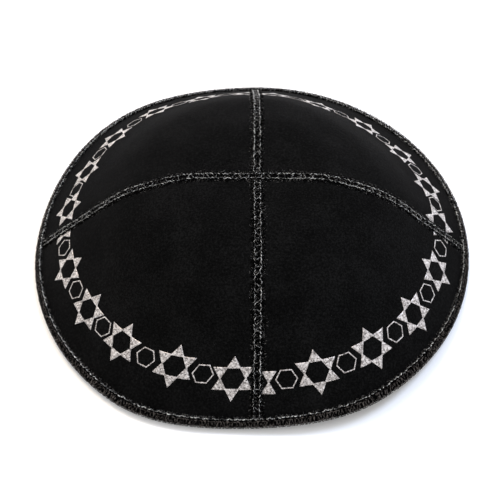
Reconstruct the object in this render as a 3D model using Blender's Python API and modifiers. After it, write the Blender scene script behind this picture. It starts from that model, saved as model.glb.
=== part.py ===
"""A four-panel skullcap of dark suede, lying on its rim.

Four crown panels meet at two crossing seams. A ribbed tape covers each seam and a folded
binding closes the rim. The cap is hollow and open below, and nothing on it moves.
+X is the wearer's right, +Y the back, +Z up. The origin lies on the floor, under the middle
of the rim.
"""
import math
from collections import namedtuple

import bmesh
import bpy
from mathutils import Vector

# Sizes in metres and degrees
RIM_LENGTH = 0.1660
RIM_WIDTH = 0.1634
LONG_WAY_DEG = 120.8
CAP_HEIGHT = 0.0414
CROWN_SHIFT_RIGHT = 0.0043
CROWN_SHIFT_BACK = -0.0013

PANEL_THICKNESS = 0.0012
BINDING_WALL = 0.0009
BINDING_DEPTH = 0.0024
BRAID_WIDTH = 0.0034
BRAID_HEIGHT = 0.0009
SEWING_GAP = 0.0003

# Facets
PANEL_COLUMNS = 16
PANEL_ROWS = 14
BRAID_STEPS = 22
BINDING_STEPS = 96
ARC_STEPS = 3
FOOT_HALF_DEG = 18.0

# The crown's profile, from its middle out to the panels' edge: the share of the radius, and
# the share of the height from the edge to the top of the suede.
Section = namedtuple("Section", "across up")
PROFILE = (
    Section(0.00, 0.980),
    Section(0.15, 0.995),
    Section(0.30, 0.993),
    Section(0.42, 0.922),
    Section(0.55, 0.807),
    Section(0.65, 0.658),
    Section(0.75, 0.470),
    Section(0.90, 0.199),
    Section(1.00, 0.000),
)

# Where each seam runs down to the rim. 0 is the right, 90 the back.
Seam = namedtuple("Seam", "name azimuth_deg")
RIGHT_SEAM = Seam("right", -0.9)
BACK_SEAM = Seam("back", 93.2)
LEFT_SEAM = Seam("left", 185.1)
FRONT_SEAM = Seam("front", 276.3)

# The rim's soft folds: how far each one dents in and lifts off the floor, as shares of the
# rim's mean radius, fading out over its half width.
Fold = namedtuple("Fold", "name azimuth_deg half_width_deg inward lift")
RIM_FOLDS = (
    Fold("front flat", -86.0, 35.0, 0.053, 0.0),
    Fold("right front lift", -50.0, 45.0, 0.0, 0.041),
    Fold("left back lift", 140.0, 45.0, 0.0, 0.055),
)

# Where the soft crown stands fuller or sags, a little above the band of print: how far it
# rises, as a share of the rim's mean radius, fading out over its half width.
Swell = namedtuple("Swell", "name azimuth_deg half_width_deg rise")
SWELLS = (
    Swell("front fullness", 276.3, 45.0, 0.029),
    Swell("back sag", 93.2, 45.0, -0.010),
    Swell("left fullness", 185.1, 45.0, 0.007),
    Swell("right back sag", 46.1, 45.0, -0.042),
)
SWELL_AT = 0.75

# The tape's top, from one side to the other: the share of its half width, and the share of
# its full height. Two raised edge ribs stand beside a sunken middle.
Rib = namedtuple("Rib", "across height")
BRAID_RIBS = (
    Rib(-1.00, 0.55),
    Rib(-0.72, 1.00),
    Rib(-0.42, 0.62),
    Rib(0.00, 0.55),
    Rib(0.42, 0.62),
    Rib(0.72, 1.00),
    Rib(1.00, 0.55),
)

MEAN_RADIUS = (RIM_LENGTH + RIM_WIDTH) / 4
BINDING_HALF = PANEL_THICKNESS / 2 + SEWING_GAP + BINDING_WALL
EDGE_INSET = SEWING_GAP + BINDING_WALL
EDGE_STAND = BINDING_HALF
PROBE = MEAN_RADIUS / 2000


def interpolate(xs, ys, x):
    """A smooth curve through the table's points, level at its start and straight past its end."""
    slopes = [0.0]
    for i in range(1, len(xs) - 1):
        slopes.append((ys[i + 1] - ys[i - 1]) / (xs[i + 1] - xs[i - 1]))
    slopes.append((ys[-1] - ys[-2]) / (xs[-1] - xs[-2]))
    if x >= xs[-1]:
        return ys[-1] + slopes[-1] * (x - xs[-1])
    i = max(k for k in range(len(xs) - 1) if xs[k] <= x)
    width = xs[i + 1] - xs[i]
    t = (x - xs[i]) / width
    rise = ys[i + 1] - ys[i]
    start = (t ** 3 - 2 * t ** 2 + t) * width * slopes[i]
    end = (t ** 3 - t ** 2) * width * slopes[i + 1]
    return ys[i] + (3 * t ** 2 - 2 * t ** 3) * rise + start + end


def profile_height(share):
    """The crown's share of height at a share of its radius."""
    return interpolate([row.across for row in PROFILE], [row.up for row in PROFILE], share)


def fade(azimuth, fold):
    """1 at the middle of a fold or swell, falling smoothly to 0 at its sides."""
    away = (math.degrees(azimuth) - fold.azimuth_deg + 180) % 360 - 180
    share = min(abs(away) / fold.half_width_deg, 1.0)
    return 0.5 * (1 + math.cos(math.pi * share))


def edge_radius(azimuth):
    """The plan distance from the middle to the panels' edge."""
    oval = (RIM_LENGTH - RIM_WIDTH) / 4
    turn = math.cos(2 * (azimuth - math.radians(LONG_WAY_DEG)))
    inward = sum(fold.inward * fade(azimuth, fold) for fold in RIM_FOLDS)
    return MEAN_RADIUS * (1 - inward) + oval * turn - EDGE_INSET


def rim_lift(azimuth):
    """How far the rim is lifted off the floor."""
    return MEAN_RADIUS * sum(fold.lift * fade(azimuth, fold) for fold in RIM_FOLDS)


def swell(azimuth, share):
    """How far the crown stands out or sags; nothing at its middle and at the rim."""
    rise = sum(row.rise * fade(azimuth, row) for row in SWELLS)
    fullness = share ** 3 * (1 - share) / (SWELL_AT ** 3 * (1 - SWELL_AT))
    return MEAN_RADIUS * rise * fullness


def crown(flat):
    """The suede's outer face, over a point of the plain round plan."""
    azimuth = math.atan2(flat.y, flat.x)
    share = flat.length / edge_radius(azimuth)
    pull = 1 - share ** 2
    height = EDGE_STAND + (CAP_HEIGHT - EDGE_STAND) * profile_height(share)
    height += rim_lift(azimuth) * share ** 4 + swell(azimuth, share)
    return Vector((flat.x + CROWN_SHIFT_RIGHT * pull, flat.y + CROWN_SHIFT_BACK * pull, height))


def crown_normal(flat):
    """The direction straight out of the suede's outer face."""
    along_x = crown(flat + Vector((PROBE, 0))) - crown(flat - Vector((PROBE, 0)))
    along_y = crown(flat + Vector((0, PROBE))) - crown(flat - Vector((0, PROBE)))
    return along_x.cross(along_y).normalized()


def direction(azimuth):
    """The unit plan direction of an azimuth."""
    return Vector((math.cos(azimuth), math.sin(azimuth)))


def edge_slope(azimuth):
    """The step down the suede at the panels' edge, for one metre of plan radius."""
    edge = direction(azimuth) * edge_radius(azimuth)
    step = direction(azimuth) * PROBE
    return (crown(edge) - crown(edge - step)) / PROBE


def material(name, colour, roughness):
    """A plain surface of one colour."""
    made = bpy.data.materials.new(name)
    made.use_nodes = True
    surface = made.node_tree.nodes["Principled BSDF"]
    surface.inputs["Base Color"].default_value = (*colour, 1.0)
    surface.inputs["Roughness"].default_value = roughness
    surface.inputs["Metallic"].default_value = 0.0
    return made


def bent_grid(columns, rows, place):
    """A grid whose points are placed by their shares (0 to 1) of its width and of its depth."""
    mesh = bmesh.new()
    bmesh.ops.create_grid(mesh, x_segments=columns, y_segments=rows, size=0.5)
    for vertex in mesh.verts:
        vertex.co = place(vertex.co.x + 0.5, vertex.co.y + 0.5)
    bmesh.ops.remove_doubles(mesh, verts=mesh.verts, dist=0.00001)
    return mesh


def finish(mesh, name, surface, collection):
    """Turn a grid into the named object."""
    data = bpy.data.meshes.new(name)
    mesh.to_mesh(data)
    mesh.free()
    data.materials.append(surface)
    data.shade_smooth()
    data.set_sharp_from_angle(angle=math.radians(40))
    made = bpy.data.objects.new(name, data)
    collection.objects.link(made)
    return made


def add_panel(name, first, last, surface, collection):
    """One suede panel between two seams, a shell whose sides keep half the gap from each."""
    start = math.radians(first.azimuth_deg)
    sweep = math.radians((last.azimuth_deg - first.azimuth_deg) % 360)
    half_gap = SEWING_GAP / 2

    def place(column, row):
        middle = start + sweep / 2
        tip = half_gap / math.sin(sweep / 2) / edge_radius(middle)
        share = tip + (1 - tip) * row
        clear = min(math.asin(min(half_gap / (share * edge_radius(start)), 1.0)), sweep / 2)
        azimuth = start + sweep - clear - column * (sweep - 2 * clear)
        return crown(direction(azimuth) * edge_radius(azimuth) * share)

    panel = finish(bent_grid(PANEL_COLUMNS, PANEL_ROWS, place), name, surface, collection)
    shell = panel.modifiers.new("thickness", "SOLIDIFY")
    shell.thickness = PANEL_THICKNESS
    shell.offset = -1.0
    shell.use_even_offset = True


def seam_end(seam):
    """How far down a seam its tape runs, to just short of the binding."""
    azimuth = math.radians(seam.azimuth_deg)
    covered = (BINDING_DEPTH + SEWING_GAP) / edge_slope(azimuth).length
    return edge_radius(azimuth) - covered


def add_braid(name, path, surface, collection):
    """A tape that lies over a seam, thicker along the two ribs at its sides."""
    def place(along, across):
        here = path(along)
        ahead = path(along + 0.5 / BRAID_STEPS) - path(along - 0.5 / BRAID_STEPS)
        sideways = Vector((-ahead.y, ahead.x)).normalized()
        row = BRAID_RIBS[round(across * (len(BRAID_RIBS) - 1))]
        flat = here + sideways * row.across * BRAID_WIDTH / 2
        return crown(flat) + crown_normal(flat) * SEWING_GAP

    mesh = bent_grid(BRAID_STEPS, len(BRAID_RIBS) - 1, place)
    braid = finish(mesh, name, surface, collection)
    ribs = braid.vertex_groups.new(name="ribs")
    for vertex in braid.data.vertices:
        row = BRAID_RIBS[vertex.index // (BRAID_STEPS + 1)]
        ribs.add([vertex.index], row.height, "REPLACE")
    tape = braid.modifiers.new("height", "SOLIDIFY")
    tape.thickness = BRAID_HEIGHT
    tape.offset = 1.0
    tape.vertex_group = ribs.name


def across_path(left, right):
    """The way over the crown from one seam's end to the other's."""
    far = seam_end(left)
    near = seam_end(right)

    def path(along):
        if along < 0.5:
            return direction(math.radians(left.azimuth_deg)) * far * (1 - 2 * along)
        return direction(math.radians(right.azimuth_deg)) * near * (2 * along - 1)
    return path


def down_path(seam):
    """The way down one seam, from just beside the tape that crosses it to the binding."""
    skew = max(abs((seam.azimuth_deg - other.azimuth_deg) % 180 - 90) for other in (LEFT_SEAM, RIGHT_SEAM))
    begin = BRAID_WIDTH / 2 * (1 + math.tan(math.radians(skew))) + SEWING_GAP
    begin /= math.cos(math.radians(skew))
    end = seam_end(seam)

    def path(along):
        return direction(math.radians(seam.azimuth_deg)) * (begin + (end - begin) * along)
    return path


def binding_section(azimuth):
    """The binding's cut face at one azimuth, as points round its folded wall.

    Each point is a pair: how far past the panels' edge along the suede, and how far out from
    the middle of its thickness. The fold's underside has one level facet to rest on.
    """
    slope = edge_slope(azimuth)
    down_deg = math.degrees(math.atan2(-Vector((slope.x, slope.y)).length, -slope.z))
    centre = -PANEL_THICKNESS / 2
    seat = PANEL_THICKNESS / 2 + SEWING_GAP
    foot_start = down_deg + FOOT_HALF_DEG
    arc = [90 + (foot_start - 90) * step / ARC_STEPS for step in range(ARC_STEPS + 1)]
    arc.append(down_deg - FOOT_HALF_DEG)
    arc.append(min(-90.0, down_deg - 2 * FOOT_HALF_DEG))
    points = [(-BINDING_DEPTH, seat), (-BINDING_DEPTH, BINDING_HALF - BINDING_WALL / 3)]
    points.append((-BINDING_DEPTH + BINDING_WALL / 2, BINDING_HALF))
    for angle in arc:
        turn = math.radians(angle)
        points.append((centre + BINDING_HALF * math.cos(turn), BINDING_HALF * math.sin(turn)))
    points.append((-BINDING_DEPTH + BINDING_WALL / 2, -BINDING_HALF))
    points.append((-BINDING_DEPTH, -BINDING_HALF + BINDING_WALL / 3))
    points.append((-BINDING_DEPTH, -seat))
    points.append((SEWING_GAP, -seat))
    points.append((SEWING_GAP, seat))
    return points


def binding_point(azimuth, step):
    """A point of the binding's wall: the section's point, laid along the suede there."""
    points = binding_section(azimuth)
    past, out = points[step % len(points)]
    slope = edge_slope(azimuth)
    inside = min(past, 0.0) / slope.length
    flat = direction(azimuth) * (edge_radius(azimuth) + inside)
    normal = crown_normal(flat)
    place = crown(flat) + normal * (out - PANEL_THICKNESS / 2)
    place += slope.normalized() * max(past, 0.0)
    foot = 3 + ARC_STEPS
    if step % len(points) in (foot, foot + 1):
        place.z = rim_lift(azimuth)
    return place


def add_binding(name, surface, collection):
    """The folded strip that closes the panels' edge all the way round."""
    sides = len(binding_section(0.0))

    def place(round_share, section_share):
        azimuth = 2 * math.pi * (round(round_share * BINDING_STEPS) % BINDING_STEPS) / BINDING_STEPS
        return binding_point(azimuth, round(section_share * sides))

    mesh = bent_grid(BINDING_STEPS, sides, place)
    bmesh.ops.recalc_face_normals(mesh, faces=mesh.faces)
    finish(mesh, name, surface, collection)


def stand_on_middle(collection):
    """Hang the pieces on an empty that brings the middle of the rim over the origin."""
    rim = [vertex.co for vertex in collection.objects["rim_binding"].data.vertices]
    pieces = list(collection.objects)
    base = bpy.data.objects.new("base", None)
    base.location.x = -(max(co.x for co in rim) + min(co.x for co in rim)) / 2
    base.location.y = -(max(co.y for co in rim) + min(co.y for co in rim)) / 2
    collection.objects.link(base)
    for piece in pieces:
        piece.parent = base


def build():
    """Clear the scene and make the cap's eight pieces."""
    for old in list(bpy.data.objects):
        bpy.data.objects.remove(old, do_unlink=True)
    cap = bpy.data.collections.new("kippah_skullcap")
    bpy.context.scene.collection.children.link(cap)
    suede = material("black_suede", (0.011, 0.011, 0.012), 0.95)
    tape = material("black_braid", (0.013, 0.013, 0.014), 0.55)
    edging = material("black_binding", (0.012, 0.012, 0.013), 0.60)

    add_panel("panel_back_right", RIGHT_SEAM, BACK_SEAM, suede, cap)
    add_panel("panel_back_left", BACK_SEAM, LEFT_SEAM, suede, cap)
    add_panel("panel_front_left", LEFT_SEAM, FRONT_SEAM, suede, cap)
    add_panel("panel_front_right", FRONT_SEAM, RIGHT_SEAM, suede, cap)
    add_braid("seam_braid_cross", across_path(LEFT_SEAM, RIGHT_SEAM), tape, cap)
    add_braid("seam_braid_front", down_path(FRONT_SEAM), tape, cap)
    add_braid("seam_braid_back", down_path(BACK_SEAM), tape, cap)
    add_binding("rim_binding", edging, cap)
    stand_on_middle(cap)


build()
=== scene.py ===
"""Dresses the four-panel suede skullcap: napped suede, glitter print, seam tapes and rim binding."""
import math
import random

import bmesh
import bpy
from mathutils import Matrix, Vector, noise


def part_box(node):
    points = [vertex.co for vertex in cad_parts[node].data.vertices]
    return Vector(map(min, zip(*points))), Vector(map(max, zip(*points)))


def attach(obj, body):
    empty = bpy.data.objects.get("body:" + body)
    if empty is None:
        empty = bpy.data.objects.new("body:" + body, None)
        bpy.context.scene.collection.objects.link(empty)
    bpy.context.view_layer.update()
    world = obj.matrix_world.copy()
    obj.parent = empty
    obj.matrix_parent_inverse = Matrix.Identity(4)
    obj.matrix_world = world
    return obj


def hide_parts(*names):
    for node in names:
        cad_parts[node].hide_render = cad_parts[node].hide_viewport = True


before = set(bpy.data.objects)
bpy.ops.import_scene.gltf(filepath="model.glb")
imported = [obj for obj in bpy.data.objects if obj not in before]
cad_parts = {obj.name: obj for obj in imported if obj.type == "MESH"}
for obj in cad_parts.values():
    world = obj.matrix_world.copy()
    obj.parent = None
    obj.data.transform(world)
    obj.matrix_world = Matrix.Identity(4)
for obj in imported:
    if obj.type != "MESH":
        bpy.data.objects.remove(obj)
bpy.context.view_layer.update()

MM = 0.001

# The solids' own sizes, repeated so that every piece lies on the same crown
RIM_LENGTH = 0.1660
RIM_WIDTH = 0.1634
LONG_WAY_DEG = 120.8
CAP_HEIGHT = 0.0414
CROWN_SHIFT_RIGHT = 0.0043
CROWN_SHIFT_BACK = -0.0013
PANEL_THICKNESS = 0.0012
BINDING_WALL = 0.0009
BINDING_DEPTH = 0.0024
SEWING_GAP = 0.0003
PROFILE = (
    (0.00, 0.980), (0.15, 0.995), (0.30, 0.993), (0.42, 0.922), (0.55, 0.807),
    (0.65, 0.658), (0.75, 0.470), (0.90, 0.199), (1.00, 0.000),
)
SEAMS = {"right": -0.9, "back": 93.2, "left": 185.1, "front": 276.3}
# azimuth, half width, inward share, lift share
RIM_FOLDS = ((-86.0, 35.0, 0.053, 0.0), (-50.0, 45.0, 0.0, 0.041), (140.0, 45.0, 0.0, 0.055))
# azimuth, half width, rise share three quarters of the way out
SWELLS = ((276.3, 45.0, 0.029), (93.2, 45.0, -0.010), (185.1, 45.0, 0.007), (46.1, 45.0, -0.042))
SWELL_AT = 0.75
PANELS = (
    ("back_right", "right", "back"), ("back_left", "back", "left"),
    ("front_left", "left", "front"), ("front_right", "front", "right"),
)
MEAN_RADIUS = (RIM_LENGTH + RIM_WIDTH) / 4
BINDING_HALF = PANEL_THICKNESS / 2 + SEWING_GAP + BINDING_WALL
EDGE_INSET = SEWING_GAP + BINDING_WALL
EDGE_STAND = BINDING_HALF
PROBE = MEAN_RADIUS / 2000


# ---------------------------------------------------------------- the crown's form
def profile_height(share):
    """The crown's share of height at a share of its radius."""
    last = len(PROFILE) - 1
    slopes = [0.0]
    for i in range(1, last):
        slopes.append((PROFILE[i + 1][1] - PROFILE[i - 1][1]) / (PROFILE[i + 1][0] - PROFILE[i - 1][0]))
    slopes.append((PROFILE[last][1] - PROFILE[last - 1][1]) / (PROFILE[last][0] - PROFILE[last - 1][0]))
    if share >= 1.0:
        return slopes[last] * (share - 1.0)
    i = max(k for k in range(last) if PROFILE[k][0] <= share)
    width = PROFILE[i + 1][0] - PROFILE[i][0]
    t = (share - PROFILE[i][0]) / width
    rise = PROFILE[i + 1][1] - PROFILE[i][1]
    bend = (t ** 3 - 2 * t ** 2 + t) * width * slopes[i] + (t ** 3 - t ** 2) * width * slopes[i + 1]
    return PROFILE[i][1] + (3 * t ** 2 - 2 * t ** 3) * rise + bend


def fade(azimuth, middle_deg, half_width_deg):
    """1 at the middle of a fold or swell, falling smoothly to 0 at its sides."""
    away = (math.degrees(azimuth) - middle_deg + 180) % 360 - 180
    return 0.5 * (1 + math.cos(math.pi * min(abs(away) / half_width_deg, 1.0)))


def edge_radius(azimuth):
    """The plan distance from the middle to the suede's edge."""
    oval = (RIM_LENGTH - RIM_WIDTH) / 4
    inward = sum(row[2] * fade(azimuth, row[0], row[1]) for row in RIM_FOLDS)
    turn = math.cos(2 * (azimuth - math.radians(LONG_WAY_DEG)))
    return MEAN_RADIUS * (1 - inward) + oval * turn - EDGE_INSET


def rim_lift(azimuth):
    """How far the rim is lifted off the floor."""
    return MEAN_RADIUS * sum(row[3] * fade(azimuth, row[0], row[1]) for row in RIM_FOLDS)


def direction(azimuth):
    """The unit plan direction of an azimuth."""
    return Vector((math.cos(azimuth), math.sin(azimuth)))


def find_middle():
    """The rim's own middle, which the solids were moved by to stand on the origin."""
    low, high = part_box("rim_binding")
    steps = [math.radians(k / 4) for k in range(1440)]
    rim = [crown(direction(a) * edge_radius(a), Vector((0, 0))) for a in steps]
    reach = [max(p[axis] for p in rim) + min(p[axis] for p in rim) for axis in (0, 1)]
    return Vector(((low[0] + high[0] - reach[0]) / 2, (low[1] + high[1] - reach[1]) / 2))


def crown(flat, middle=None):
    """The suede's outer face, over a point of the plain round plan."""
    middle = MIDDLE if middle is None else middle
    azimuth = math.atan2(flat.y, flat.x)
    share = flat.length / edge_radius(azimuth)
    pull = 1 - share ** 2
    height = EDGE_STAND + (CAP_HEIGHT - EDGE_STAND) * profile_height(share)
    height += rim_lift(azimuth) * share ** 4
    rise = sum(row[2] * fade(azimuth, row[0], row[1]) for row in SWELLS)
    height += MEAN_RADIUS * rise * share ** 3 * (1 - share) / (SWELL_AT ** 3 * (1 - SWELL_AT))
    return Vector((
        flat.x + CROWN_SHIFT_RIGHT * pull + middle.x,
        flat.y + CROWN_SHIFT_BACK * pull + middle.y,
        height,
    ))


def crown_normal(flat):
    """The direction straight out of the suede's outer face."""
    along_x = crown(flat + Vector((PROBE, 0))) - crown(flat - Vector((PROBE, 0)))
    along_y = crown(flat + Vector((0, PROBE))) - crown(flat - Vector((0, PROBE)))
    return along_x.cross(along_y).normalized()


MIDDLE = find_middle()


def suede_relief(flat):
    """How far the soft suede rises over the plain crown: pulled down at its sewing, uneven between."""
    azimuth = math.atan2(flat.y, flat.x)
    sewn = 0.0
    for seam_deg in SEAMS.values():
        ray = direction(math.radians(seam_deg))
        if flat.dot(ray) > 0:
            beside = abs(flat.x * ray.y - flat.y * ray.x)
            sewn = max(sewn, math.exp(-(beside / (3.2 * MM)) ** 2))
    edge = max(0.0, edge_radius(azimuth) - flat.length)
    hem = math.exp(-(edge / (5.0 * MM)) ** 2)
    pucker = math.sin(azimuth * 61 + 2 * math.sin(azimuth * 7)) * hem * 0.10 * MM
    soft = noise.noise(Vector((flat.x, flat.y, 0.3)) * 45) * 0.35 * MM
    return (soft + pucker) * (1 - sewn) * (1 - hem * 0.6) - 0.22 * MM * sewn


def suede_point(flat, above=0.0):
    """A point at a height over the suede's real, soft surface."""
    return crown(flat) + crown_normal(flat) * (suede_relief(flat) + above)


# ---------------------------------------------------------------- making meshes
def bent_grid(mesh, columns, rows, place, weld=True):
    """Add a grid whose points are placed by their shares (0 to 1) of its width and of its depth."""
    made = bmesh.ops.create_grid(mesh, x_segments=columns, y_segments=rows, size=0.5)["verts"]
    for vertex in made:
        vertex.co = place(vertex.co.x + 0.5, vertex.co.y + 0.5)
    if weld:
        bmesh.ops.remove_doubles(mesh, verts=made, dist=0.002 * MM)
    return made


TUBES = {}
SCRATCH = bpy.data.meshes.new("scratch")


def tube(steps, sides):
    """A straight round tube with closed ends, made once and copied: its x counts the steps."""
    if (steps, sides) not in TUBES:
        mesh = bmesh.new()
        made = bmesh.ops.create_grid(mesh, x_segments=steps, y_segments=sides, size=0.5)["verts"]
        for vertex in made:
            turn = (vertex.co.y + 0.5) * 2 * math.pi
            vertex.co = Vector(((vertex.co.x + 0.5) * steps, math.cos(turn), math.sin(turn)))
        bmesh.ops.remove_doubles(mesh, verts=made, dist=0.01)
        bmesh.ops.holes_fill(mesh, edges=mesh.edges[:], sides=sides)
        bmesh.ops.recalc_face_normals(mesh, faces=mesh.faces)
        TUBES[steps, sides] = bpy.data.meshes.new("tube")
        mesh.to_mesh(TUBES[steps, sides])
        mesh.free()
    return TUBES[steps, sides]


def thread(mesh, way, radius, steps, sides=5):
    """Add a round thread along a way, a function of its share (0 to 1), in the strip's flat frame."""
    points = [way(k / steps) for k in range(steps + 1)]
    rings = []
    for k, point in enumerate(points):
        ahead = (points[min(k + 1, steps)] - points[max(k - 1, 0)]).normalized()
        side = Vector((0, 0, 1)).cross(ahead).normalized()
        thick = radius * (0.6 if k in (0, steps) else 1.0)
        rings.append((point, side * thick, ahead.cross(side) * thick))
    piece = bmesh.new()
    piece.from_mesh(tube(steps, sides))
    for vertex in piece.verts:
        point, side, up = rings[round(vertex.co.x)]
        vertex.co = point + side * vertex.co.y + up * vertex.co.z
    piece.to_mesh(SCRATCH)
    piece.free()
    mesh.from_mesh(SCRATCH)


def face_up(mesh):
    """Turn the faces of one open sheet to look upward, before it gets its thickness."""
    bmesh.ops.recalc_face_normals(mesh, faces=mesh.faces)
    mesh.normal_update()
    if sum(face.normal.z for face in mesh.faces) < 0:
        bmesh.ops.reverse_faces(mesh, faces=mesh.faces)


def finish_piece(mesh, name, material, nodes=(), sharp_deg=None):
    """Turn a mesh into a piece of the cap, with its material."""
    data = bpy.data.meshes.new(name)
    mesh.to_mesh(data)
    mesh.free()
    data.materials.append(material)
    data.shade_smooth()
    if sharp_deg:
        data.set_sharp_from_angle(angle=math.radians(sharp_deg))
    piece = bpy.data.objects.new(name, data)
    bpy.context.scene.collection.objects.link(piece)
    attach(piece, "root")
    if nodes:
        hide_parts(*nodes)
    return piece


class Lane:
    """A way over the cap with a frame at each station: on along it, across it and up from it."""

    def __init__(self, stations, closed=False):
        self.stations = stations
        self.closed = closed
        self.marks = [0.0]
        count = len(stations)
        for k in range(1, count + (1 if closed else 0)):
            step = (stations[k % count][0] - stations[k - 1][0]).length
            self.marks.append(self.marks[-1] + step)
        self.length = self.marks[-1]

    def frame_at(self, along):
        """The origin, across and up directions at a distance along the lane."""
        if self.closed:
            along %= self.length
        along = min(max(along, 0.0), self.length)
        low, high = 0, len(self.marks) - 1
        while high - low > 1:
            middle = (low + high) // 2
            if self.marks[middle] <= along:
                low = middle
            else:
                high = middle
        span = self.marks[high] - self.marks[low]
        t = (along - self.marks[low]) / span if span else 0.0
        first = self.stations[low % len(self.stations)]
        second = self.stations[high % len(self.stations)]
        return [first[i].lerp(second[i], t) for i in range(len(first))]


def seam_lane(path, steps=260):
    """The lane down a sewn seam, on the soft suede."""
    stations = []
    for k in range(steps + 1):
        here = path(k / steps)
        ahead = path(min(k / steps + 0.004, 1.0)) - path(max(k / steps - 0.004, 0.0))
        sideways = Vector((-ahead.y, ahead.x)).normalized() * 0.5 * MM
        across = (crown(here + sideways) - crown(here - sideways)).normalized()
        stations.append((suede_point(here), across, crown_normal(here)))
    return Lane(stations)


def lay_on_seam(mesh, lane):
    """Bend a flat strip (along, across, up) onto a seam's lane."""
    for vertex in mesh.verts:
        origin, across, up = lane.frame_at(vertex.co.x)
        vertex.co = origin + across * vertex.co.y + up * vertex.co.z


def rim_lane(steps=720):
    """The lane round the suede's edge: its middle, the way down past it, and the way out of it."""
    stations = []
    for k in range(steps):
        azimuth = 2 * math.pi * k / steps
        ray = direction(azimuth)
        edge = ray * edge_radius(azimuth)
        down = (crown(edge) - crown(edge - ray * PROBE)).normalized()
        out = crown_normal(edge)
        stations.append((crown(edge) - out * PANEL_THICKNESS / 2, down, out, Vector((0, 0, rim_lift(azimuth)))))
    return Lane(stations, closed=True)


LEG = BINDING_DEPTH - PANEL_THICKNESS / 2
ROLL = BINDING_HALF - 0.25 * MM


def girth_place(girth, height):
    """(past the edge, out of the suede's middle) for a distance round the folded binding."""
    round_way = math.pi * ROLL
    centre = -PANEL_THICKNESS / 2
    if girth < LEG:
        return centre - LEG + girth, ROLL + height
    if girth < LEG + round_way:
        turn = math.pi / 2 - (girth - LEG) / ROLL
        return centre + (ROLL + height) * math.cos(turn), (ROLL + height) * math.sin(turn)
    return centre - (girth - LEG - round_way), -ROLL - height


GIRTH = 2 * LEG + math.pi * ROLL


def lay_on_rim(mesh, lane):
    """Bend a flat strip (along, round the fold, up from it) onto the rim, flattened where it rests."""
    for vertex in mesh.verts:
        origin, down, out, lift = lane.frame_at(vertex.co.x)
        past, over = girth_place(vertex.co.y, vertex.co.z)
        place = origin + down * past + out * over
        place.z = max(place.z, lift.z + 0.02 * MM)
        vertex.co = place
    # along, round and up are a left-handed frame, so the faces turned inside out
    bmesh.ops.reverse_faces(mesh, faces=mesh.faces)


# ---------------------------------------------------------------- materials
def linear(hex_colour):
    """An sRGB hex colour as linear RGBA."""
    parts = [int(hex_colour[i:i + 2], 16) / 255 for i in (1, 3, 5)]
    return tuple(p / 12.92 if p <= 0.04045 else ((p + 0.055) / 1.055) ** 2.4 for p in parts) + (1.0,)


def node(tree, kind, settings=None, **links):
    """Add a node with its settings, its input values and its links."""
    made = tree.nodes.new(kind)
    for name, value in (settings or {}).items():
        setattr(made, name, value)
    for name, value in links.items():
        socket = made.inputs[int(name[1:])] if name[1:].isdigit() else made.inputs[name.replace("_", " ")]
        if isinstance(value, bpy.types.NodeSocket):
            tree.links.new(value, socket)
        else:
            socket.default_value = value
    return made


def new_material(name):
    """An empty Principled material: its tree and its shader."""
    made = bpy.data.materials.new(name)
    made.use_nodes = True
    return made, made.node_tree, made.node_tree.nodes["Principled BSDF"]


def ramp(tree, factor, stops):
    """A colour ramp with its stops as (place, hex)."""
    made = node(tree, "ShaderNodeValToRGB", _0=factor)
    band = made.color_ramp
    while len(band.elements) < len(stops):
        band.elements.new(0.5)
    for element, (place, colour) in zip(band.elements, stops):
        element.position = place
        element.color = linear(colour)
    return made.outputs["Color"]


def suede_material():
    """Sueded split leather, brushed: a short nap that scatters light softly and shows faint strokes."""
    made, tree, shader = new_material("brushed_black_suede")
    place = node(tree, "ShaderNodeTexCoord").outputs["Object"]
    # nap fibres are near 0.05 mm; drawn at about 0.6 mm so that they show
    nap = node(tree, "ShaderNodeTexNoise", Vector=place, Scale=1500.0, Detail=3.0, Roughness=0.75)
    clumps = node(tree, "ShaderNodeTexNoise", Vector=place, Scale=600.0, Detail=2.0, Roughness=0.6)
    # brush strokes of 8 to 20 mm where the nap leans one way
    strokes = node(tree, "ShaderNodeTexNoise", Vector=place, Scale=70.0, Detail=3.0, Roughness=0.55)
    mixed = node(tree, "ShaderNodeMath", {"operation": "MULTIPLY_ADD"}, _0=strokes.outputs["Fac"], _1=0.25,
                 _2=node(tree, "ShaderNodeMath", {"operation": "MULTIPLY"},
                         _0=nap.outputs["Fac"], _1=0.75).outputs[0])
    colour = ramp(tree, mixed.outputs[0], ((0.38, "#030303"), (0.50, "#090909"), (0.62, "#141414")))
    tree.links.new(colour, shader.inputs["Base Color"])
    grain = node(tree, "ShaderNodeMath", {"operation": "ADD"},
                 _0=nap.outputs["Fac"], _1=clumps.outputs["Fac"])
    bump = node(tree, "ShaderNodeBump", Strength=0.55, Distance=0.00025, Height=grain.outputs[0])
    tree.links.new(bump.outputs["Normal"], shader.inputs["Normal"])
    shader.inputs["Roughness"].default_value = 0.95
    shader.inputs["Specular IOR Level"].default_value = 0.03
    shader.inputs["Sheen Weight"].default_value = 0.014
    shader.inputs["Sheen Roughness"].default_value = 0.45
    shader.inputs["Sheen Tint"].default_value = linear("#d8d8dc")
    return made


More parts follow.
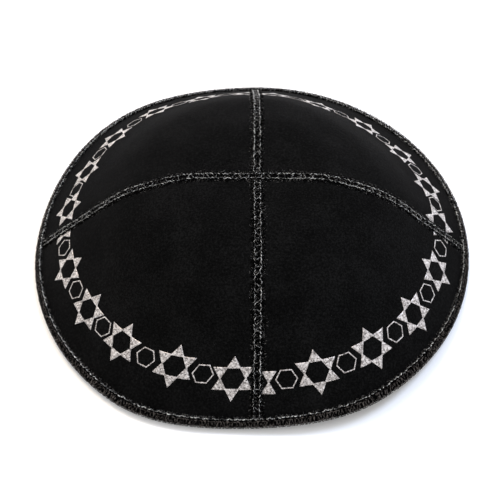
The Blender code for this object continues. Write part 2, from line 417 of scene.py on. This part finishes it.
def thread_material(name, dark, light, gloss, roughness):
    """Spun polyester thread: dark fibres with a satin gloss along each ply, whose glints are painted into the colour
    as pale flecks.
    """
    made, tree, shader = new_material(name)
    place = node(tree, "ShaderNodeTexCoord").outputs["Object"]
    fibre = node(tree, "ShaderNodeTexNoise", Vector=place, Scale=2200.0, Detail=2.0, Roughness=0.6)
    # painted highlights: this noise sets where the thread's gloss is painted in as pale flecks along it
    glint_flecks = node(tree, "ShaderNodeTexNoise", Vector=place, Scale=1000.0, Detail=1.0, Roughness=0.5)
    mixed = node(tree, "ShaderNodeMath", {"operation": "MULTIPLY_ADD"}, _0=glint_flecks.outputs["Fac"], _1=0.6,
                 _2=node(tree, "ShaderNodeMath", {"operation": "MULTIPLY"},
                         _0=fibre.outputs["Fac"], _1=0.4).outputs[0])
    colour = ramp(tree, mixed.outputs[0], ((0.44, dark), (0.64, light)))
    tree.links.new(colour, shader.inputs["Base Color"])
    bump = node(tree, "ShaderNodeBump", Strength=0.5, Distance=0.0001, Height=fibre.outputs["Fac"])
    tree.links.new(bump.outputs["Normal"], shader.inputs["Normal"])
    shader.inputs["Roughness"].default_value = roughness
    shader.inputs["Specular IOR Level"].default_value = gloss
    return made


def glitter_material():
    """Silver glitter ink, screen printed: fine flakes that each face their own way, each with a painted glint of its
    own brightness.
    """
    made, tree, shader = new_material("silver_glitter_ink")
    place = node(tree, "ShaderNodeTexCoord").outputs["Object"]
    # flakes are 0.1 to 0.2 mm; drawn at about 0.45 mm so that they show
    flake = node(tree, "ShaderNodeTexVoronoi", {"feature": "F1"}, Vector=place, Scale=2200.0, Randomness=1.0)
    tone = node(tree, "ShaderNodeSeparateColor", _0=flake.outputs["Color"])
    # painted glints: each flake's colour runs from dim to bright as its sparkle; the bump below also tilts each flake
    colour = ramp(tree, tone.outputs[0], ((0.0, "#5a5654"), (0.25, "#918b88"), (0.6, "#b7b1ae"), (1.0, "#e0dbd8")))
    tree.links.new(colour, shader.inputs["Base Color"])
    rough = node(tree, "ShaderNodeMapRange", _0=tone.outputs[1], _3=0.30, _4=0.60)
    tree.links.new(rough.outputs[0], shader.inputs["Roughness"])
    tilt = node(tree, "ShaderNodeBump", Strength=0.6, Distance=0.0001, Height=tone.outputs[2])
    tree.links.new(tilt.outputs["Normal"], shader.inputs["Normal"])
    shader.inputs["Metallic"].default_value = 0.25
    return made


SUEDE = suede_material()
GLITTER = glitter_material()
TAPE = thread_material("black_tape_weave", "#010101", "#050505", 0.02, 0.90)
# the needle and rung threads' pale colours are partly their own grey and partly painted highlights of their satin
# gloss
NEEDLE = thread_material("satin_grey_needle_thread", "#0c0c0c", "#dcdcd9", 0.2, 0.45)
RUNG = thread_material("dull_grey_needle_thread", "#0c0c0c", "#aaaaa8", 0.12, 0.50)
LOOPER = thread_material("black_looper_thread", "#010101", "#0a0a0a", 0.02, 0.75)
# the edge yarn and the thread ends are black; the light ends of their colours are painted highlights
EDGE = thread_material("black_edge_yarn", "#030202", "#6c6662", 0.05, 0.60)
WORN = thread_material("dark_worn_thread_ends", "#080808", "#7e7c7a", 0.06, 0.65)


# ---------------------------------------------------------------- suede panels
def add_panel(name, first, last):
    """One suede panel between two seams, a soft shell with its sewn sides pulled down."""
    start = math.radians(SEAMS[first])
    sweep = math.radians((SEAMS[last] - SEAMS[first]) % 360)
    half_gap = SEWING_GAP / 2

    def place(column, row):
        middle = start + sweep / 2
        tip = half_gap / math.sin(sweep / 2) / edge_radius(middle)
        share = tip + (1 - tip) * row
        clear = min(math.asin(min(half_gap / (share * edge_radius(start)), 1.0)), sweep / 2)
        azimuth = start + sweep - clear - column * (sweep - 2 * clear)
        return suede_point(direction(azimuth) * edge_radius(azimuth) * share)

    mesh = bmesh.new()
    bent_grid(mesh, 64, 72, place, weld=False)
    bmesh.ops.remove_doubles(mesh, verts=mesh.verts, dist=0.01 * MM)
    face_up(mesh)
    bmesh.ops.solidify(mesh, geom=mesh.faces[:], thickness=PANEL_THICKNESS)
    finish_piece(mesh, "suede_panel_" + name, SUEDE, ["panel_" + name], sharp_deg=50)


for panel_name, first_seam, last_seam in PANELS:
    add_panel(panel_name, first_seam, last_seam)


# ---------------------------------------------------------------- the printed band
STAR_RADIUS = 7.75 * MM
STAR_NECK = 0.42 * MM
HEXAGON_RADIUS = 3.7 * MM
HEXAGON_LINE = 0.36 * MM
INK_HEIGHT = 0.05 * MM
# For each panel, where each star's middle is printed: its azimuth in degrees, and how far in
# from the suede's edge in millimetres. The band climbs a little toward the back seam.
PRINT = {
    "front_left": ((269.4, 16.7), (251.9, 19.2), (233.7, 18.6), (217.6, 17.9), (200.7, 17.1), (183.8, 16.0)),
    "front_right": ((275.9, 14.9), (293.1, 15.8), (310.1, 15.6), (327.3, 14.6), (344.5, 15.0), (362.0, 15.2)),
    "back_right": ((2.5, 15.5), (17.6, 15.9), (34.6, 16.0), (52.1, 17.1), (69.9, 23.0), (87.0, 23.5)),
    "back_left": ((176.9, 16.1), (162.1, 16.8), (146.1, 16.4), (128.6, 16.6), (112.6, 21.9), (95.6, 22.5)),
}


def share_in(azimuth, distance):
    """The share of the radius that lies a distance in from the suede's edge, along the suede."""
    ray = direction(azimuth) * edge_radius(azimuth)
    steps = 60
    share, walked, here = 1.0, 0.0, crown(ray)
    while walked < distance:
        share -= 1 / steps
        there = crown(ray * share)
        walked += (there - here).length
        last_step = (there - here).length
        here = there
    return share + (walked - distance) / last_step / steps


def add_star(mesh):
    """A flat six-pointed star round an empty hexagon, its six filled points joined by narrow necks."""
    notch = STAR_RADIUS / math.sqrt(3)
    hole = notch - STAR_NECK
    made = bmesh.ops.create_circle(mesh, cap_ends=False, radius=hole, segments=6)["verts"]
    edges = list({edge for vertex in made for edge in vertex.link_edges})
    outer = bmesh.ops.extrude_edge_only(mesh, edges=edges)["geom"]
    ring = [item for item in outer if isinstance(item, bmesh.types.BMVert)]
    for vertex in ring:
        vertex.co *= notch / hole
    rim_edges = [item for item in outer if isinstance(item, bmesh.types.BMEdge)
                 and item.verts[0] in ring and item.verts[1] in ring]
    for edge in rim_edges:
        tip = bmesh.ops.extrude_edge_only(mesh, edges=[edge])["geom"]
        ends = [item for item in tip if isinstance(item, bmesh.types.BMVert)]
        way = ((ends[0].co + ends[1].co) / 2).normalized()
        for vertex in ends:
            vertex.co = way * STAR_RADIUS
        bmesh.ops.remove_doubles(mesh, verts=ends, dist=0.01 * MM)
    return mesh


def add_hexagon(mesh):
    """A thin flat outline of a hexagon."""
    made = bmesh.ops.create_circle(mesh, cap_ends=False, radius=HEXAGON_RADIUS, segments=6)["verts"]
    edges = list({edge for vertex in made for edge in vertex.link_edges})
    inner = bmesh.ops.extrude_edge_only(mesh, edges=edges)["geom"]
    for item in inner:
        if isinstance(item, bmesh.types.BMVert):
            item.co *= (HEXAGON_RADIUS - HEXAGON_LINE / math.cos(math.pi / 6)) / HEXAGON_RADIUS
    return mesh


def add_print(name, first, last):
    """A panel's share of the star and hexagon chain, cut off at its seams and laid on the suede."""
    places = PRINT[name]
    whole = bmesh.new()
    for k in range(2 * len(places) - 1):
        # a hexagon stands half way between each two stars
        near, far = Vector(places[k // 2]), Vector(places[(k + 1) // 2])
        azimuth_deg, distance = (near + far) / 2
        azimuth = math.radians(azimuth_deg)
        share = share_in(azimuth, distance * MM)
        motif = bmesh.new()
        star = k % 2 == 0
        (add_star if star else add_hexagon)(motif)
        # one of a star's points looks up to the crown, and a hexagon's corners look along the band
        bmesh.ops.rotate(motif, verts=motif.verts, matrix=Matrix.Rotation(math.radians(30), 3, "Z"))
        bmesh.ops.triangulate(motif, faces=motif.faces[:])
        bmesh.ops.subdivide_edges(motif, edges=motif.edges[:], cuts=5 if star else 2, use_grid_fill=True)
        ray = direction(azimuth)
        radius = edge_radius(azimuth)
        slope = (crown(ray * radius * share) - crown(ray * radius * (share - 0.01))).length / (0.01 * radius)
        for vertex in motif.verts:
            out = radius * share - vertex.co.y / slope
            turn = azimuth - vertex.co.x / out
            spot = direction(turn) * (out * edge_radius(turn) / radius)
            vertex.co = Vector((spot.x, spot.y, 0.0))
        face_up(motif)
        motif.to_mesh(SCRATCH)
        motif.free()
        whole.from_mesh(SCRATCH)
    for seam_name, side in ((first, 1), (last, -1)):
        ray = direction(math.radians(SEAMS[seam_name]))
        normal = Vector((-ray.y, ray.x, 0)) * side
        bmesh.ops.bisect_plane(whole, geom=whole.verts[:] + whole.edges[:] + whole.faces[:], dist=0.0,
                               plane_co=normal * 0.3 * MM, plane_no=normal, clear_inner=True)
    bmesh.ops.remove_doubles(whole, verts=whole.verts, dist=0.003 * MM)
    for vertex in whole.verts:
        if vertex.is_boundary:
            # the ink's edge is ragged where it sinks into the nap
            shake = noise.noise_vector(Vector((vertex.co.x, vertex.co.y, 0.7)) * 900) * 0.07 * MM
            vertex.co += Vector((shake.x, shake.y, 0.0))
    top = bmesh.ops.extrude_face_region(whole, geom=whole.faces[:])["geom"]
    bmesh.ops.translate(whole, verts=[item for item in top if isinstance(item, bmesh.types.BMVert)],
                        vec=(0, 0, INK_HEIGHT))
    for vertex in whole.verts:
        vertex.co = suede_point(vertex.co.xy, vertex.co.z)
    finish_piece(whole, "star_print_" + name, GLITTER)


for panel_name, first_seam, last_seam in PANELS:
    add_print(panel_name, first_seam, last_seam)


# ---------------------------------------------------------------- seam tapes
TAPE_HALF = 1.5 * MM
ROW_AT = 1.0 * MM
STITCH = 1.3 * MM


def seam_reach(seam, beyond=0.9 * MM):
    """How far down a seam its tape runs: a little way in under the binding's threads."""
    azimuth = math.radians(SEAMS[seam])
    ray = direction(azimuth)
    slope = (crown(ray * edge_radius(azimuth)) - crown(ray * (edge_radius(azimuth) - PROBE))).length / PROBE
    return edge_radius(azimuth) - (BINDING_DEPTH - beyond) / slope


def cross_path(share):
    """The way over the crown from the left seam's end to the right seam's end."""
    if share < 0.5:
        return direction(math.radians(SEAMS["left"])) * seam_reach("left") * (1 - 2 * share)
    return direction(math.radians(SEAMS["right"])) * seam_reach("right") * (2 * share - 1)


def down_path(seam):
    """The way down the front or back seam, from under the crossing tape's edge to the rim."""
    begin = TAPE_HALF + 0.25 * MM
    end = seam_reach(seam)
    return lambda share: direction(math.radians(SEAMS[seam])) * (begin + (end - begin) * share)


def zigzag(turns):
    """A wave of straight slants between -1 and 1, one full wave for each whole turn."""
    return abs((turns % 1) * 4 - 2) - 1


def drift(here, seed, reach):
    """A slow, uneven wander of hand-fed sewing."""
    return noise.noise(Vector((here / (2.6 * MM), seed * 3.7, 0.5))) * reach


def ribbed_tape(mesh, length, seed, gains):
    """The woven strip under the stitches, sunk along its middle, with a rib for each weft thread."""
    steps = int(length / (0.20 * MM))
    section = ((-1.0, 0.02), (-0.96, 0.16), (-0.72, 0.30), (-0.35, 0.22), (0.0, 0.16),
               (0.35, 0.22), (0.72, 0.30), (0.96, 0.16), (1.0, 0.02))

    def place(along, across):
        row = section[round(across * (len(section) - 1))]
        here = along * length
        rib = math.cos(here * 2 * math.pi / (STITCH / 2)) * 0.05 * MM if row[1] > 0.1 else 0.0
        return Vector((here, row[0] * TAPE_HALF + drift(here, seed + row[0], 0.12 * MM), row[1] * MM + rib))
    bent_grid(mesh, steps, len(section) - 1, place, weld=False)
    face_up(mesh)
    bmesh.ops.solidify(mesh, geom=mesh.faces[:], thickness=0.06 * MM)


def needle_rows(mesh, length, seed, gains):
    """Two rows of short slanting needle stitches that dip into the suede at their ends."""
    chance = random.Random(seed)
    for side, gain in zip((-1, 1), gains):
        here, lean = 0.0, 1
        while here < length - STITCH:
            size = STITCH * chance.uniform(0.8, 1.15)
            slant = lean * chance.uniform(0.08, 0.42) * MM
            radius = chance.uniform(0.09, 0.15) * MM * gain

            def way(share):
                across = side * ROW_AT + slant * (2 * share - 1) + drift(here, seed + side, 0.30 * MM)
                return Vector((here + size * share, across, (0.16 + 0.40 * math.sin(math.pi * share) ** 0.6) * MM))
            thread(mesh, way, radius, 6, sides=5)
            here += size * 0.93
            lean = -lean if chance.random() < 0.6 else lean


def rungs(mesh, length, seed, gains):
    """Threads that cross between the two rows, straight or slanting."""
    chance = random.Random(seed)
    count = int(length / (2.0 * STITCH))
    for k in range(count):
        here = (k + 0.5 + chance.uniform(-0.25, 0.25)) * length / count
        lean = chance.choice((-1.1, -0.4, 0.3, 1.0)) * MM
        reach = chance.uniform(0.5, 0.9)

        def way(share):
            bow = 0.12 * MM * math.sin(math.pi * share)
            return Vector((here + lean * (share - 0.5), (share * 2 - 1) * ROW_AT * reach, 0.34 * MM + bow))
        thread(mesh, way, 0.095 * MM, 4, sides=4)


def side_loops(mesh, length, seed, gains):
    """Black looper thread that swings out on the suede past each row, in uneven loops."""
    chance = random.Random(seed)
    count = int(length / (0.55 * MM))
    for side in (-1, 1):
        for k in range(count):
            here = (k + chance.uniform(0.2, 0.8)) * length / count
            reach = chance.uniform(0.5, 1.7) * MM
            wide = chance.uniform(0.15, 0.45) * MM
            skew = chance.uniform(-0.5, 0.5) * MM

            def way(share):
                swing = math.sin(math.pi * share)
                return Vector((here + wide * (share * 2 - 1) + skew * swing, side * (ROW_AT + reach * swing),
                               (0.26 * (1 - swing) + 0.10) * MM))
            thread(mesh, way, chance.uniform(0.10, 0.15) * MM, 6, sides=4)


def loose_hairs(mesh, length, seed, gains):
    """Short frayed ends of dark thread, pale where their gloss is painted in, over the tape and on the suede beside
    it.
    """
    chance = random.Random(seed + 50)
    for _ in range(int(length / (0.06 * MM))):
        here = chance.uniform(0, length)
        start = chance.choice((-1, 1)) * min(abs(chance.gauss(1.3, 0.7)), 2.8) * MM
        turn = chance.uniform(-1.4, 1.4)
        size = chance.uniform(0.25, 0.75) * MM
        base = 0.42 if abs(start) < 1.3 * MM else 0.16

        def way(share):
            return Vector((here + math.sin(turn) * size * share, start + math.cos(turn) * size * share,
                           (base + 0.10 * math.sin(math.pi * share)) * MM))
        thread(mesh, way, chance.uniform(0.035, 0.06) * MM, 3, sides=3)


def add_seam(name, path, seed, gains):
    """A seam's whole trim: the tape, its needle rows, and the threads over and beside them."""
    lane = seam_lane(path)
    for part, maker, material in (("tape", ribbed_tape, TAPE), ("rows", needle_rows, NEEDLE),
                                  ("rungs", rungs, RUNG), ("loops", side_loops, LOOPER), ("hairs", loose_hairs, WORN)):
        mesh = bmesh.new()
        maker(mesh, lane.length, seed, gains)
        lay_on_seam(mesh, lane)
        nodes = ["seam_braid_" + name] if part == "tape" else []
        finish_piece(mesh, "seam_%s_%s" % (name, part), material, nodes)


add_seam("cross", cross_path, 3, (0.9, 0.9))
add_seam("front", down_path("front"), 11, (0.65, 1.0))
add_seam("back", down_path("back"), 19, (0.9, 0.9))


# ---------------------------------------------------------------- rim binding
RIM = rim_lane()
STITCHES = round(RIM.length / (1.35 * MM))
STEP = RIM.length / STITCHES


def binding_roll(mesh):
    """The folded strip itself, a soft roll over the suede's edge."""
    around = 22

    def place(along, round_way):
        girth = round_way * GIRTH
        end = min(round_way, 1 - round_way) * GIRTH
        dip = -0.5 * MM * math.exp(-(end / (0.35 * MM)) ** 2)
        rib = math.cos(along * STITCHES * 2 * math.pi) * 0.05 * MM
        return Vector((along * RIM.length, girth, dip + rib))
    bent_grid(mesh, STITCHES * 4, around, place, weld=False)


def needle_line(mesh):
    """The bright wavy line of needle thread along the binding's inner edge."""
    chance = random.Random(23)
    for k in range(STITCHES):
        lean = 1 if k % 2 else -1
        slant = lean * chance.uniform(0.04, 0.26) * MM
        radius = chance.uniform(0.12, 0.17) * MM
        girth = -0.12 * MM + noise.noise(Vector((math.cos(k * 2 * math.pi / STITCHES) * 30,
                                                 math.sin(k * 2 * math.pi / STITCHES) * 30, 0))) * 0.3 * MM

        def way(share):
            return Vector(((k + 0.08 + 0.84 * share) * STEP, girth + slant * (2 * share - 1),
                           (-0.45 + 0.56 * math.sin(math.pi * share) ** 0.6) * MM))
        thread(mesh, way, radius, 6, sides=5)


def edge_loops(mesh):
    """Slanting loops over the edge in two layers, one each way, that leave dark eyes between them."""
    chance = random.Random(7)
    count = int(STITCHES * 1.3)
    for lean, lift in ((1, 0.0), (-1, 0.12)):
        for k in range(count):
            start = (k + (0.5 if lean < 0 else 0.0) + chance.uniform(-0.25, 0.25)) * RIM.length / count
            begin = chance.uniform(0.55, 0.8) * MM
            far = chance.uniform(0.74, 0.9) * GIRTH
            swing_by = chance.uniform(0.4, 1.6) * STEP * lean
            high = chance.uniform(0.0, 0.18)

            def way(share):
                along = start + swing_by * (share + 0.20 * math.sin(2 * math.pi * share))
                return Vector((along, begin + (far - begin) * share,
                               (high + lift + 0.12 * math.sin(2 * math.pi * share)) * MM))
            thread(mesh, way, chance.uniform(0.065, 0.11) * MM, 12, sides=4)


def edge_chains(mesh):
    """Loosely chained thread that runs round over the loops, near the top and along the very edge."""
    chance = random.Random(31)
    count = int(STITCHES * 1.6)
    for girth, size in ((0.55 * MM, 0.12), (LEG + 0.12 * math.pi * ROLL, 0.10), (LEG + 0.36 * math.pi * ROLL, 0.13),
                        (LEG + 0.62 * math.pi * ROLL, 0.12)):
        for k in range(count):
            here = (k + chance.uniform(-0.3, 0.3)) * RIM.length / count
            long = chance.uniform(0.35, 0.7) * STEP
            slant = chance.choice((-1, 1)) * chance.uniform(0.1, 0.45) * MM
            middle = girth + chance.uniform(-0.12, 0.12) * MM

            def way(share):
                return Vector((here + long * share, middle + slant * (share - 0.5),
                               (0.14 + 0.20 * math.sin(math.pi * share)) * MM))
            thread(mesh, way, size * chance.uniform(0.75, 1.1) * MM, 5, sides=5)


def rim_hairs(mesh):
    """Short frayed ends of dark thread, pale where their gloss is painted in, that stray from the needle line onto the
    suede.
    """
    chance = random.Random(41)
    for _ in range(STITCHES * 4):
        here = chance.uniform(0, RIM.length)
        size = chance.uniform(0.3, 0.9) * MM
        lean = chance.uniform(-1.0, 1.0) * size

        def way(share):
            drop = min(1.0, share * size / (0.5 * MM))
            return Vector((here + lean * share, -0.1 * MM - size * share, (-0.10 - 0.70 * drop) * MM))
        thread(mesh, way, chance.uniform(0.035, 0.06) * MM, 3, sides=3)


def add_rim(name, maker, material, nodes=()):
    """Build one part of the binding flat and bend it round the rim."""
    mesh = bmesh.new()
    maker(mesh)
    lay_on_rim(mesh, RIM)
    if maker is binding_roll:
        bmesh.ops.remove_doubles(mesh, verts=mesh.verts, dist=0.001 * MM)
        # the folded strip's two edges are joined inside the suede
        bmesh.ops.bridge_loops(mesh, edges=[edge for edge in mesh.edges if edge.is_boundary])
        bmesh.ops.recalc_face_normals(mesh, faces=mesh.faces)
    finish_piece(mesh, name, material, nodes)


add_rim("rim_binding_roll", binding_roll, TAPE, ["rim_binding"])
add_rim("rim_needle_line", needle_line, NEEDLE)
add_rim("rim_edge_loops", edge_loops, EDGE)
add_rim("rim_edge_chains", edge_chains, EDGE)
add_rim("rim_loose_hairs", rim_hairs, WORN)


# ---------------------------------------------------------------- studio
def add_floor():
    """A plain white sheet to lie on."""
    mesh = bmesh.new()
    bmesh.ops.create_grid(mesh, x_segments=1, y_segments=1, size=3.0)
    data = bpy.data.meshes.new("floor")
    mesh.to_mesh(data)
    mesh.free()
    made, tree, shader = new_material("white_paper")
    shader.inputs["Base Color"].default_value = linear("#ffffff")
    shader.inputs["Roughness"].default_value = 0.9
    data.materials.append(made)
    floor = bpy.data.objects.new("floor", data)
    bpy.context.scene.collection.objects.link(floor)


def add_lamp(name, azimuth_deg, height_deg, distance, size, power, colour):
    """A square soft light that looks at the cap."""
    data = bpy.data.lights.new(name, "AREA")
    data.shape = "SQUARE"
    data.size = size
    data.energy = power
    data.color = linear(colour)[:3]
    lamp = bpy.data.objects.new(name, data)
    a, e = math.radians(azimuth_deg), math.radians(height_deg)
    back = Vector((math.sin(a) * math.cos(e), -math.cos(a) * math.cos(e), math.sin(e)))
    lamp.location = back * distance
    lamp.rotation_euler = back.to_track_quat("Z", "Y").to_euler()
    bpy.context.scene.collection.objects.link(lamp)


def add_camera():
    """The photograph's view: from in front and above, turned a little on its side."""
    azimuth, height, roll = math.radians(8.044), math.radians(53.263), math.radians(-4.227)
    distance, aim = 0.3683, Vector((-0.00067, 0.00137, -0.00897))
    back = Vector((math.sin(azimuth) * math.cos(height), -math.cos(azimuth) * math.cos(height), math.sin(height)))
    right = Vector((math.cos(azimuth), math.sin(azimuth), 0))
    up = back.cross(right)
    side = right * math.cos(roll) + up * math.sin(roll)
    top = up * math.cos(roll) - right * math.sin(roll)
    data = bpy.data.cameras.new("camera")
    data.sensor_width = 36.0
    data.lens = 939.43 / 500 * 36.0
    data.clip_start = 0.01
    camera = bpy.data.objects.new("camera", data)
    camera.matrix_world = Matrix((
        (side.x, top.x, back.x, aim.x + back.x * distance),
        (side.y, top.y, back.y, aim.y + back.y * distance),
        (side.z, top.z, back.z, aim.z + back.z * distance),
        (0, 0, 0, 1),
    ))
    bpy.context.scene.collection.objects.link(camera)
    bpy.context.scene.camera = camera


bpy.context.scene.view_settings.view_transform = "Standard"
add_floor()
add_camera()
add_lamp("warm_back_light", -148, 54, 1.2, 0.4, 7.2, "#ffead0")
add_lamp("cool_back_light", 128, 52, 1.2, 0.4, 8.0, "#cfe0ff")
world = bpy.data.worlds.new("studio")
world.use_nodes = True
world.node_tree.nodes["Background"].inputs["Color"].default_value = linear("#ffffff")
world.node_tree.nodes["Background"].inputs["Strength"].default_value = 0.90
bpy.context.scene.world = world
